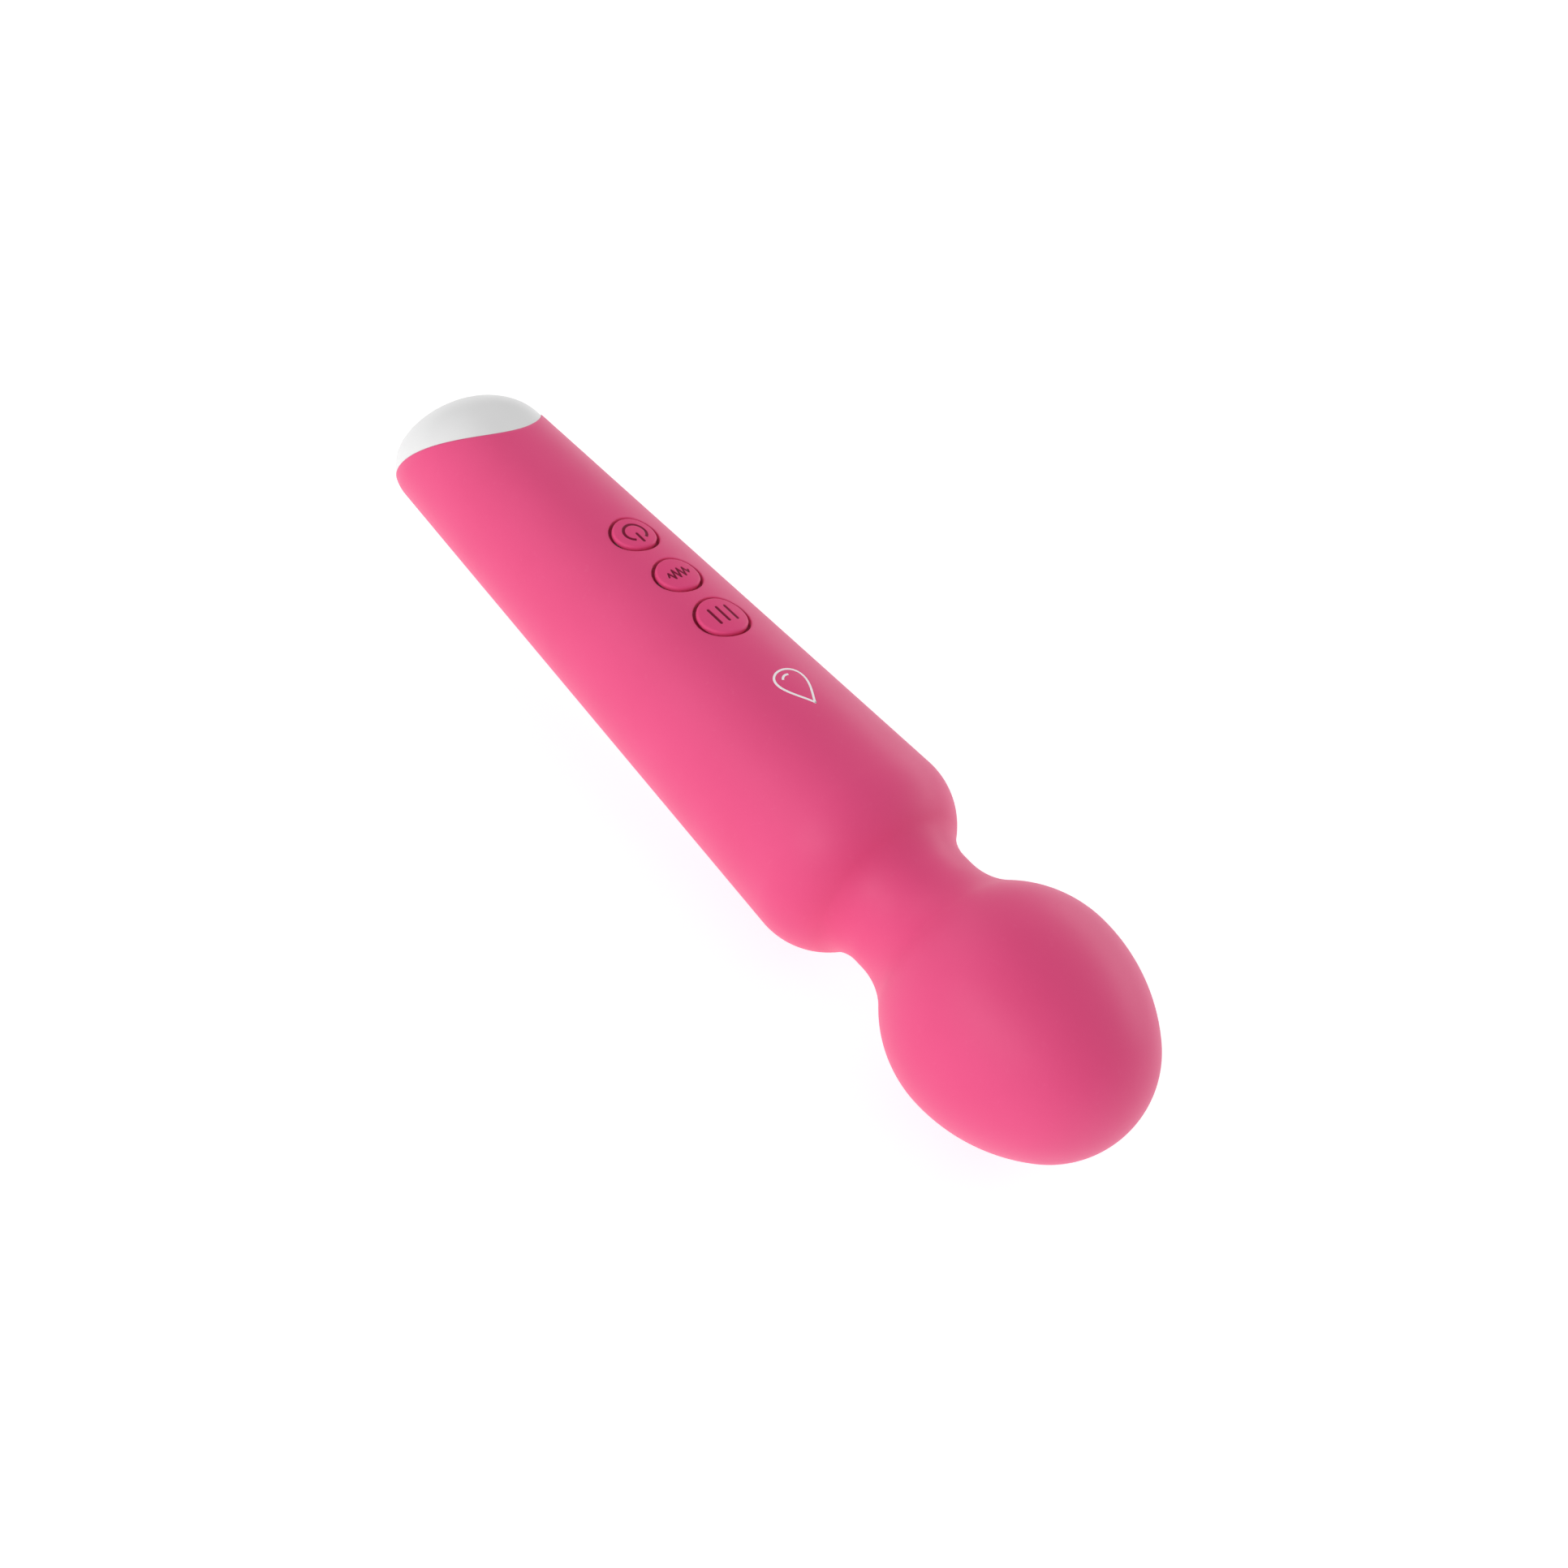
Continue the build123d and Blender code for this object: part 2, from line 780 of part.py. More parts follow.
def build():
    """Every sub-part under its node's name."""
    outside = envelope(0)
    sleeve = outside - envelope(skin)
    parts["handle_skin"] = handle_skin(sleeve)
    parts["neck_skin"] = neck_skin(sleeve)
    parts["head_skin"] = head_skin(sleeve)
    casing = handle_casing()
    parts["front_casing"] = front_casing(casing)
    parts["rear_casing"] = rear_casing(casing)
    parts["casing_screws"] = screws(handle_screws)
    parts["end_cap"] = end_cap()
    parts["end_cap_seal"] = end_cap_seal()
    parts["charge_contacts"] = charge_contacts()
    parts["charge_magnets"] = charge_magnets()
    parts["charge_board"] = charge_board()
    parts["charge_leads"] = charge_leads()
    parts["control_board"] = control_board()
    parts["board_screws"] = board_fixings()
    parts["control_chip"] = control_chip()
    parts["board_components"] = board_components()
    for name, x, radius in zip(button_names, button_stations, groove_radii):
        parts[name + "_button"] = button_cap(x, radius, outside)
        parts[name + "_button_key"] = button_key(x)
        parts[name + "_switch"] = switch_body(x)
        parts[name + "_switch_plunger"] = switch_plunger(x)
    parts["battery_cell"] = battery_cell()
    parts["battery_cradle"] = battery_cradle()
    parts["battery_foam"] = battery_foam()
    parts["battery_tabs"] = battery_tabs()
    parts["battery_leads"] = battery_leads()
    parts["rear_collar"] = rear_collar()
    parts["neck_core"] = neck_core()
    parts["front_collar"] = front_collar()
    head = head_casing()
    parts["head_casing_front"] = head_half(head, front_half)
    parts["head_casing_rear"] = head_half(head, rear_half)
    parts["head_screws"] = screws(head_screws)
    parts["motor_leads"] = motor_leads()
    parts["motor_sleeve"] = motor_sleeve()
    parts["motor_can"] = motor_can()
    parts["motor_end_bell"] = motor_end_bell()
    parts["motor_terminals"] = motor_terminals()
    parts["motor_bush_rear"] = bush(motor_start - bell_thickness, motor_start)
    parts["motor_bush_front"] = bush(*(motor_end + step for step in bush_front_span))
    parts["motor_magnets"] = motor_magnets()
    parts["motor_brushes"] = motor_brushes()
    parts["motor_shaft"] = motor_shaft()
    parts["armature"] = armature()
    parts["armature_windings"] = armature_windings()
    parts["commutator"] = commutator()
    parts["eccentric_weight"] = eccentric_weight()


os.makedirs("parts", exist_ok=True)
build()
for node, shape in parts.items():
    export_step(at_rest * shape, "parts/" + node + ".step")
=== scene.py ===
import math

import bmesh
import bpy
import numpy as np
from mathutils import Matrix, Vector


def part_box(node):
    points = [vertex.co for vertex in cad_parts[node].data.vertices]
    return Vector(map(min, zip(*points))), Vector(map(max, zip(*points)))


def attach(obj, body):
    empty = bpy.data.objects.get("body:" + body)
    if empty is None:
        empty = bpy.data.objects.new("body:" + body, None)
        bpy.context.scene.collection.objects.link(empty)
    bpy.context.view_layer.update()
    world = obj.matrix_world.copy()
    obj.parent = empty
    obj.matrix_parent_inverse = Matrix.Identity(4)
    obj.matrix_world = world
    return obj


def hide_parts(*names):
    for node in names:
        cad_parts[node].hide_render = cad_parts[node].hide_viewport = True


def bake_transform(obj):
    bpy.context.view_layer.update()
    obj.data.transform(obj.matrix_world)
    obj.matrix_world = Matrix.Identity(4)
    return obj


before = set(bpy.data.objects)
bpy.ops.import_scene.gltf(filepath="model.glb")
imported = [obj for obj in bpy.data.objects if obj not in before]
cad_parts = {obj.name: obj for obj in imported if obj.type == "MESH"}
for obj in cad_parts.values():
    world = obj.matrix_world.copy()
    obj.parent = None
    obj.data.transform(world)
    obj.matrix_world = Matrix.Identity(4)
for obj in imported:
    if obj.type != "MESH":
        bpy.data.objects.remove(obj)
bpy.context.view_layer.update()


# ---------------------------------------------------------------------------------------------
# Casing halves of the handle and the head, and the cradle of the cell
# Light grey injection-moulded ABS shells with a fine spark-eroded texture. Screws join them from
# the back, and the soft sleeve is pulled over them.


class Paint:
    """A socket in a material's nodes. Arithmetic on it adds Math nodes, node() adds any other."""

    def __init__(self, tree, socket=None):
        self.tree = tree
        self.socket = socket

    def node(self, kind, settings, sockets, output=0):
        """Adds a node: its settings first, then the values or links of its sockets."""
        made = self.tree.nodes.new("ShaderNode" + kind)
        for name, value in settings.items():
            setattr(made, name, value)
        for name, value in sockets.items():
            if isinstance(value, Paint):
                self.tree.links.new(value.socket, made.inputs[name])
            else:
                made.inputs[name].default_value = value
        return Paint(self.tree, made.outputs[output] if made.outputs else None)

    def sum_node(self, operation, first, second):
        return self.node("Math", {"operation": operation}, {0: first, 1: second})

    def __add__(self, other):
        return self.sum_node("ADD", self, other)

    def __sub__(self, other):
        return self.sum_node("SUBTRACT", self, other)

    def __mul__(self, other):
        return self.sum_node("MULTIPLY", self, other)

    def __radd__(self, other):
        return self.sum_node("ADD", other, self)

    def __rsub__(self, other):
        return self.sum_node("SUBTRACT", other, self)

    def __rmul__(self, other):
        return self.sum_node("MULTIPLY", other, self)

    def between(self, first, second):
        """The colour that this value picks between two colours."""
        sockets = {0: self, 6: first, 7: second}
        return self.node("Mix", {"data_type": "RGBA"}, sockets, output=2)

    def stretched(self, low, high):
        """This value with low brought to 0 and high to 1, and cut off there."""
        return self.node("MapRange", {}, {"Value": self, "From Min": low, "From Max": high})

    def grain(self, scale, detail=2.0):
        """Noise from 0 to 1 at this place, in cells of 1 / scale metres."""
        return self.node("TexNoise", {}, {"Vector": self, "Scale": scale, "Detail": detail})


def tint(text):
    """A six-digit colour as linear light with full cover."""
    shares = [int(text[i : i + 2], 16) / 255 for i in (0, 2, 4)]
    linear = [s / 12.92 if s <= 0.04045 else ((s + 0.055) / 1.055) ** 2.4 for s in shares]
    return linear + [1.0]


def start_finish(name):
    """A new material, and the place on the piece by which its textures are laid."""
    material = bpy.data.materials.new(name)
    material.use_nodes = True
    material.node_tree.nodes.clear()
    return material, Paint(material.node_tree).node("TexCoord", {}, {}, output="Object")


def end_finish(material, place, sockets, relief, height):
    """Joins the shader to the output, over a bump of this relief and height in metres."""
    bump = place.node("Bump", {}, {"Height": relief, "Distance": height, "Strength": 1.0})
    shader = place.node("BsdfPrincipled", {}, sockets | {"Normal": bump})
    place.node("OutputMaterial", {}, {"Surface": shader})
    return material


def moulded_plastic(name, body, worn, rough, grain_size=0.00025, depth=0.000012):
    """Spark-eroded moulding: even colour, slight clouding and a fine pitted surface."""
    material, place = start_finish(name)
    clouds = place.grain(90.0)
    pits = place.grain(1 / grain_size, detail=1.0)
    sockets = {
        "Base Color": clouds.stretched(0.35, 0.75).between(tint(body), tint(worn)),
        "Roughness": rough + 0.12 * (pits - 0.5),
        "IOR": 1.5,
    }
    return end_finish(material, place, sockets, pits, depth)


def give(material, *nodes):
    """Paints CAD nodes that keep their own shape."""
    for node in nodes:
        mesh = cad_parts[node].data
        mesh.materials.clear()
        mesh.materials.append(material)


casing_grey = moulded_plastic("casing_grey_abs", "cfcfca", "c3c3be", 0.55)
give(casing_grey, "front_casing", "rear_casing", "head_casing_front", "head_casing_rear")
give(moulded_plastic("cradle_black_abs", "1c1c1e", "26262a", 0.5), "battery_cradle")


# ---------------------------------------------------------------------------------------------
# Screws, collars of the neck link, battery tabs and motor can
# Zinc-plated or bare steel, turned or pressed from sheet. Fine marks run round each piece.


def worked_steel(name, body, shade, rough, marks=9000.0):
    """Steel with fine working marks, drawn out along the wand's width."""
    material, place = start_finish(name)
    lie = {"Vector": place, "Scale": (1.0, 0.06, 0.06)}
    drawn = place.node("Mapping", {"vector_type": "POINT"}, lie)
    lines = drawn.grain(marks, detail=1.0)
    spots = place.grain(300.0)
    sockets = {
        "Base Color": spots.stretched(0.3, 0.8).between(tint(body), tint(shade)),
        "Metallic": 1.0,
        "Roughness": rough + 0.15 * (lines - 0.5),
    }
    return end_finish(material, place, sockets, lines, 0.000004)


zinc = worked_steel("zinc_plated_steel", "b9bcc0", "a2a6ab", 0.32)
give(zinc, "casing_screws", "board_screws", "head_screws", "rear_collar", "front_collar")
give(worked_steel("drawn_steel_can", "b2b4b6", "9d9fa2", 0.28), "motor_can", "motor_shaft")
give(worked_steel("core_laminations", "8a8c90", "75777b", 0.42, 24000.0), "armature")
give(worked_steel("nickel_strip", "cfc9bb", "b7b1a4", 0.25), "battery_tabs", "motor_terminals")
give(worked_steel("tungsten_weight", "7c7a76", "686661", 0.45), "eccentric_weight")
give(worked_steel("dark_magnet", "3a3a3d", "2c2c2f", 0.5), "charge_magnets", "motor_magnets")


# ---------------------------------------------------------------------------------------------
# Copper, bronze and carbon of the motor
# Enamelled copper coils, a copper commutator, oil-filled sintered bronze bushes and pressed
# carbon brushes. The bushes are pressed into the can and the end bell.


def sintered_metal(name, body, shade, rough, metallic=1.0):
    """Pressed powder: small pores, darker where the oil stands in them."""
    material, place = start_finish(name)
    pores = place.node("TexVoronoi", {}, {"Vector": place, "Scale": 6000.0})
    sockets = {
        "Base Color": pores.stretched(0.1, 0.6).between(tint(shade), tint(body)),
        "Metallic": metallic,
        "Roughness": rough + 0.1 * (pores - 0.5),
    }
    return end_finish(material, place, sockets, pores, 0.00001)


def wound_copper(name):
    """Turns of lacquered wire lying side by side."""
    material, place = start_finish(name)
    turns = place.node("TexWave", {"bands_direction": "X"}, {"Vector": place, "Scale": 700.0})
    sockets = {
        "Base Color": turns.between(tint("7c3418"), tint("c4713f")),
        "Metallic": 0.9,
        "Roughness": 0.25 + 0.15 * turns,
    }
    return end_finish(material, place, sockets, turns, 0.00006)


give(wound_copper("wound_copper"), "armature_windings")
give(sintered_metal("commutator_copper", "c8794c", "b0653c", 0.3), "commutator")
give(sintered_metal("sintered_bronze", "9a6f3f", "7d5730", 0.45), "motor_bush_rear", "motor_bush_front")
give(sintered_metal("pressed_carbon", "2a2a2b", "1b1b1c", 0.6, 0.2), "motor_brushes")


# ---------------------------------------------------------------------------------------------
# Control board and charge board, with the chip, the small components and the switches
# Glass-epoxy boards under green lacquer, with tracks showing through. The parts are soldered on.


def lacquered_board(name):
    """Green solder mask, a shade lighter where a copper track runs beneath it."""
    material, place = start_finish(name)
    tracks = place.node("TexBrick", {"offset": 0.35}, {"Vector": place, "Scale": 260.0}, output="Fac")
    weave = place.node("TexChecker", {}, {"Vector": place, "Scale": 3000.0}, output="Fac")
    sockets = {
        "Base Color": tracks.between(tint("0c4a22"), tint("1c7038")),
        "Roughness": 0.3 + 0.1 * weave,
        "Coat Weight": 0.3,
    }
    return end_finish(material, place, sockets, tracks, 0.00003)


give(lacquered_board("green_lacquered_board"), "control_board", "charge_board")
switch_black = moulded_plastic("switch_black_nylon", "17171a", "222226", 0.45)
give(switch_black, "control_chip", "power_switch", "pattern_switch", "speed_switch", "motor_end_bell")
give(moulded_plastic("component_ceramic", "8a6f4c", "6f583b", 0.4), "board_components")


# ---------------------------------------------------------------------------------------------
# Keys and plungers under the buttons
# Milk-white acetal, turned smooth. Each key is bonded into its soft button and rests on the
# plunger of its switch.

acetal = moulded_plastic("acetal_white", "e4e3de", "d8d7d1", 0.35, 0.0006, 0.000004)
for button in ("power", "pattern", "speed"):
    give(acetal, button + "_button_key", button + "_switch_plunger")


# ---------------------------------------------------------------------------------------------
# Cell, its foam pad and the leads
# A lithium cell in shrink wrap, a strip of open-cell foam, and silicone-insulated leads with a
# slight powder bloom.


def shrink_wrap(name):
    """Thin glossy film with faint ripples where it shrank."""
    material, place = start_finish(name)
    ripples = place.grain(500.0, detail=3.0)
    sockets = {
        "Base Color": ripples.between(tint("1f4f9e"), tint("2a60b8")),
        "Roughness": 0.18 + 0.14 * ripples,
        "Coat Weight": 0.4,
    }
    return end_finish(material, place, sockets, ripples, 0.00004)


def open_foam(name):
    """Black foam with round cells."""
    material, place = start_finish(name)
    cells = place.node("TexVoronoi", {}, {"Vector": place, "Scale": 2200.0})
    sockets = {
        "Base Color": cells.between(tint("0d0d0e"), tint("2b2b2d")),
        "Roughness": 0.85 + 0.1 * cells,
    }
    return end_finish(material, place, sockets, cells, 0.0002)


def soft_lead(name, body, bloom):
    """Silicone insulation with powder left in its low places."""
    material, place = start_finish(name)
    powder = place.grain(1400.0, detail=4.0)
    sockets = {
        "Base Color": powder.stretched(0.5, 0.9).between(tint(body), tint(bloom)),
        "Roughness": 0.45 + 0.2 * powder,
    }
    return end_finish(material, place, sockets, powder, 0.00001)


give(shrink_wrap("blue_shrink_wrap"), "battery_cell")
give(open_foam("black_foam"), "battery_foam")
red_lead = soft_lead("red_lead", "a3141c", "c8555a")
give(red_lead, "battery_leads", "charge_leads")


# ---------------------------------------------------------------------------------------------
# Rubber inside: the neck link, the motor's sleeve and the tail's seal
# Black moulded rubber with a dull, slightly mottled skin. The link is gripped by the collars.


def black_rubber(name):
    material, place = start_finish(name)
    mottle = place.grain(700.0, detail=5.0)
    sockets = {
        "Base Color": mottle.between(tint("161617"), tint("29292b")),
        "Roughness": 0.6 + 0.25 * mottle,
        "IOR": 1.45,
    }
    return end_finish(material, place, sockets, mottle, 0.00003)


moulded_rubber = black_rubber("moulded_rubber")
give(moulded_rubber, "motor_sleeve", "end_cap_seal")


# ---------------------------------------------------------------------------------------------
# Soft sleeve of the handle and half of the neck
# One moulding of matte pink silicone, 2.2 mm thick, over the whole wand. It is built in two
# pieces that meet in the middle of the bending neck. A round cut parts it from the tail cap.

MM = 0.001
nose_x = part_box("head_skin")[1].x
axis_z = (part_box("head_skin")[0].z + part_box("head_skin")[1].z) / 2
wand_length = 197.8
head_radius = 22.1
sleeve_wall = 2.2
neck_radius = 13.0
handle_tail_radius = 13.92
handle_taper = 0.0493
taper_slope = math.hypot(1, handle_taper)
shoulder_x, shoulder_round = 126.9, 13.5
neck_rear_round, neck_front_round = 8.3, 14.5
head_x, head_rear_round, head_front_round = 169.6, 23.5, 34.0
sleeve_split_x = 144.0
columns = 192
angles = np.arange(columns) * 2 * math.pi / columns


def handle_line(x):
    return handle_tail_radius + handle_taper * x


def step_off(start, goal, distance):
    """The point at this distance from start on the way to goal."""
    gap = math.dist(start, goal)
    return tuple(s + (g - s) * distance / gap for s, g in zip(start, goal))


def round_points(centre, start, end, spacing=0.45):
    """Points on the short arc about centre, after start and up to end."""
    first = math.atan2(start[1] - centre[1], start[0] - centre[0])
    last = math.atan2(end[1] - centre[1], end[0] - centre[0])
    turn = (last - first + math.pi) % (2 * math.pi) - math.pi
    radius = math.dist(centre, start)
    steps = max(4, round(abs(turn) * radius / spacing))
    bearings = [first + turn * (i + 1) / steps for i in range(steps)]
    return [(centre[0] + radius * math.cos(b), centre[1] + radius * math.sin(b)) for b in bearings]


def wand_outline(inset):
    """Points along the handle, shoulder, neck and head, from the tail to the nose, moved in."""
    shoulder = (shoulder_x, handle_line(shoulder_x) - shoulder_round * taper_slope)
    neck_rear_y = neck_radius + neck_rear_round
    reach = math.sqrt((shoulder_round + neck_rear_round) ** 2 - (neck_rear_y - shoulder[1]) ** 2)
    neck_rear = (shoulder_x + reach, neck_rear_y)
    head_rear = (head_x, head_radius - head_rear_round)
    neck_front_y = neck_radius + neck_front_round
    reach = math.sqrt((head_rear_round + neck_front_round) ** 2 - (neck_front_y - head_rear[1]) ** 2)
    neck_front = (head_x - reach, neck_front_y)
    head_front = (head_x, head_radius - head_front_round)
    nose_length = wand_length - head_x
    spare = head_front_round**2 - nose_length**2 - head_front[1] ** 2
    nose = (wand_length - spare / (2 * (head_front_round - nose_length)), 0.0)
    lift = (shoulder_round - inset) / taper_slope
    shoulder_top = (shoulder[0] - handle_taper * lift, shoulder[1] + lift)
    shoulder_end = step_off(shoulder, neck_rear, shoulder_round - inset)
    neck_a = (neck_rear[0], neck_radius - inset)
    neck_b = (neck_front[0], neck_radius - inset)
    head_start = step_off(head_rear, neck_front, head_rear_round - inset)
    widest = (head_x, head_radius - inset)
    belly_end = step_off(head_front, nose, head_front_round - inset)
    points = [(0.0, handle_line(0) - inset * taper_slope), shoulder_top]
    points += round_points(shoulder, shoulder_top, shoulder_end)
    points += round_points(neck_rear, shoulder_end, neck_a)
    points += [neck_b] + round_points(neck_front, neck_b, head_start)
    points += round_points(head_rear, head_start, widest)
    points += round_points(head_front, widest, belly_end)
    points += round_points(nose, belly_end, (wand_length - inset, 0.0))
    return np.array(points)


tail_corner_x, tail_corner_round, tail_crown_round = 13.75, 12.0, 30.0
tail_slant = 0.373
tail_join_x = 36.0
tail_end_x = 38.0
parting_x, parting_front, parting_round = 45.7, -20.1, 41.2


def slanted_column(inset, angle):
    """Close points of the slanted tail from its pole to the handle at this angle, and how far
    each lies inside the parting cut."""
    corner = (tail_corner_x, handle_line(tail_corner_x) - tail_corner_round * taper_slope)
    crown = (corner[0] + math.sqrt((tail_crown_round - tail_corner_round) ** 2 - corner[1] ** 2), 0.0)
    lift = (tail_corner_round - inset) / taper_slope
    corner_top = (corner[0] - handle_taper * lift, corner[1] + lift)
    corner_end = step_off(crown, corner, tail_crown_round - inset)
    pole = (crown[0] - tail_crown_round + inset, 0.0)
    points = [pole] + round_points(crown, pole, corner_end, 0.1)
    points += round_points(corner, corner_end, corner_top, 0.1)
    straight = np.linspace(corner_top[0] + 0.1, 60.0, 400)
    points += [(x, handle_line(x) - inset * taper_slope) for x in straight]
    x, radius = np.array(points).T
    shift = handle_taper * tail_slant * handle_line(tail_join_x)
    front = radius * math.cos(angle)
    column = np.stack([x + tail_slant * front, radius * math.sin(angle), front + shift], axis=1)
    across = np.abs(column[:, 2] - parting_front)
    along = np.minimum(column[:, 0] - parting_x, 0)
    return column, radius, parting_round - np.hypot(along, across)


def cut_column(column, measure, level):
    """Divides a column where the measure passes the level for the last time."""
    index = np.nonzero(measure < level)[0][-1]
    part = (level - measure[index]) / (measure[index + 1] - measure[index])
    point = column[index] * (1 - part) + column[index + 1] * part
    return np.vstack([column[: index + 1], point]), np.vstack([point, column[index + 1 :]])


def spread(column, shares):
    """Points at these shares of a column's length."""
    steps = np.linalg.norm(np.diff(column, axis=0), axis=1)
    length = np.concatenate([[0], np.cumsum(steps)])
    return np.stack([np.interp(shares * length[-1], length, column[:, i]) for i in range(3)], axis=1)


def sleeve_tail(inset, growth, shares):
    """Rows of points from the parting cut to the straight handle."""
    rows = []
    for angle in angles:
        column, _, inside = slanted_column(inset, angle)
        column = cut_column(column, inside, -growth)[1]
        column = cut_column(column, column[:, 0], tail_end_x)[0]
        rows.append(spread(column, shares))
    return np.array(rows).transpose(1, 0, 2)


class Skin:
    """A mesh under construction, made of rows of points that are joined by faces."""

    def __init__(self):
        self.points = []
        self.faces = []

    def row(self, points):
        """Adds points given along the wand, across it and towards the front, in mm."""
        first = len(self.points)
        self.points += [(nose_x + (x - wand_length) * MM, y * MM, axis_z + z * MM) for x, y, z in points]
        return list(range(first, len(self.points)))

    def turned_row(self, x, radius):
        places = [np.full(columns, x), radius * np.sin(angles), radius * np.cos(angles)]
        return self.row(np.stack(places, axis=1))

    def join(self, lower, upper, left_out=()):
        """Faces between two closed rows of the same length."""
        for i in range(len(lower)):
            if i not in left_out:
                j = (i + 1) % len(lower)
                self.faces.append((lower[i], lower[j], upper[j], upper[i]))

    def join_all(self, rows):
        for lower, upper in zip(rows, rows[1:]):
            self.join(lower, upper)

    def close(self, row, centre):
        """A fan from a row to one point."""
        hub = self.row([centre])[0]
        self.faces += [(row[i], row[(i + 1) % len(row)], hub) for i in range(len(row))]

    def made(self, name, material, sharp_angle=50):
        mesh = bpy.data.meshes.new(name)
        mesh.from_pydata(self.points, [], self.faces)
        shape = bmesh.new()
        shape.from_mesh(mesh)
        bmesh.ops.recalc_face_normals(shape, faces=shape.faces)
        shape.to_mesh(mesh)
        shape.free()
        mesh.materials.append(material)
        mesh.shade_smooth()
        mesh.set_sharp_from_angle(angle=math.radians(sharp_angle))
        piece = bpy.data.objects.new(name, mesh)
        bpy.context.scene.collection.objects.link(piece)
        return piece


def silicone(name, body, shade, pale, rough):
    """Matte silicone with a soft sheen, faint clouding and a little lint."""
    material, place = start_finish(name)
    bloom = place.grain(45.0, detail=3.0)
    skin_marks = place.grain(5200.0, detail=2.0)
    lint = place.grain(900.0, detail=6.0).stretched(0.62, 0.85)
    tone = bloom.stretched(0.3, 0.75).between(tint(body), tint(shade))
    sockets = {
        "Base Color": (0.05 * lint).between(tone, tint(pale)),
        "Roughness": rough + 0.16 * (skin_marks - 0.5) + 0.1 * (bloom - 0.5),
        "IOR": 1.41,
        "Sheen Weight": 0.2,
        "Sheen Roughness": 0.5,
        "Sheen Tint": tint("ffc4d8"),
    }
    return end_finish(material, place, sockets, skin_marks, 0.00001)


pink_silicone = silicone("matte_pink_silicone", "ec4c85", "e84880", "f29ab8", 0.5)

button_x = (58.3, 70.9, 83.6)
well_radii = (4.72, 4.72, 5.31)
well_square_rows = (52.0, 64.6, 77.2, 90.0)
square_columns = 11
square_steps = 22
well_floor = 1.95
key_hole_radius = 3.4
groove_lip = ((0.9, 0.0), (0.45, 0.0), (0.2, 0.0), (0.1, 0.03), (0.03, 0.1), (0.0, 0.22), (0.0, 1.0))


def on_handle(x, y, inset=0.0):
    """The point of the straight handle over this place."""
    radius = handle_line(x) - inset * taper_slope
    return (x, y, math.sqrt(radius**2 - y**2))


def square_edge(rows):
    """The closed line of point numbers round the square that makes way for a button's well."""
    half = square_columns
    across = [i % columns for i in range(-half, half + 1)]
    edge = [rows[0][i] for i in across] + [row[half] for row in rows[1:]]
    edge += [rows[-1][i] for i in across[-2::-1]]
    return edge + [row[across[0]] for row in rows[-2:0:-1]]


def well(skin, rows, x, steps, inset=0.0):
    """Rings from the square to the last of the steps, each given as radius and depth."""
    edge = square_edge(rows)
    plan = [((skin.points[e][0] - nose_x) / MM + wand_length - x, skin.points[e][1] / MM) for e in edge]
    bearings = [math.atan2(side, along) for along, side in plan]
    radius = steps[0][0]
    halfway = [
        on_handle(x + (along + radius * math.cos(b)) / 2, (side + radius * math.sin(b)) / 2, inset)
        for (along, side), b in zip(plan, bearings)
    ]
    rings = [edge, skin.row(halfway)]
    for radius, depth in steps:
        ring = []
        for bearing in bearings:
            px, py, pz = on_handle(x + radius * math.cos(bearing), radius * math.sin(bearing), inset)
            ring.append((px, py, pz - depth))
        rings.append(skin.row(ring))
    skin.join_all(rings)
    return rings[-1]


def straight_rows(skin, inset):
    """Rows of the straight handle with its three squares left open, and the squares' rows."""
    slope = inset * taper_slope
    stations = list(np.linspace(tail_end_x, well_square_rows[0], 15))[:-1]
    marks = []
    for low, high in zip(well_square_rows, well_square_rows[1:]):
        marks.append(len(stations))
        stations += list(np.linspace(low, high, square_steps + 1))[:-1]
    stations += list(np.linspace(well_square_rows[-1], 125.9, 36))
    rows = [skin.turned_row(x, handle_line(x) - slope) for x in stations]
    gap = {i % columns for i in range(-square_columns, square_columns)}
    for number, (lower, upper) in enumerate(zip(rows, rows[1:])):
        beside = any(m <= number < m + square_steps for m in marks)
        skin.join(lower, upper, gap if beside else ())
    return rows, [rows[m : m + square_steps + 1] for m in marks]


def neck_rows(skin, inset, start_x, end_x, spacing=0.5):
    """Rows along the outline between two stations."""
    outline = wand_outline(inset)
    inner = outline[(outline[:, 0] > start_x + 0.1) & (outline[:, 0] < end_x - 0.1)]
    stations = [start_x, *inner[:, 0], end_x]
    full = [stations[0]]
    for x in stations[1:]:
        parts = max(1, round((x - full[-1]) / spacing))
        full += list(np.linspace(full[-1], x, parts + 1)[1:])
    radii = np.interp(full, outline[:, 0], outline[:, 1])
    return [skin.turned_row(x, r) for x, r in zip(full, radii)]


sleeve = Skin()
rim = [(0.18, 0.0), (0.07, -0.03), (0.02, -0.1)]
rim_rows = [sleeve.row(sleeve_tail(inset, growth, np.zeros(1))[0]) for inset, growth in rim]
tail_rows = [sleeve.row(points) for points in sleeve_tail(0.0, -0.22, np.linspace(0, 1, 45)[:-1])]
outer_rows, outer_squares = straight_rows(sleeve, 0.0)
outer_neck = neck_rows(sleeve, 0.0, 126.1, sleeve_split_x)
sleeve.join_all(rim_rows + tail_rows + outer_rows[:1])
sleeve.join_all(outer_rows[-1:] + outer_neck)
inner_tail = [sleeve.row(points) for points in sleeve_tail(sleeve_wall, 0.0, np.linspace(0, 1, 30)[:-1])]
inner_rows, inner_squares = straight_rows(sleeve, sleeve_wall)
inner_neck = neck_rows(sleeve, sleeve_wall, 126.1, sleeve_split_x, 0.8)
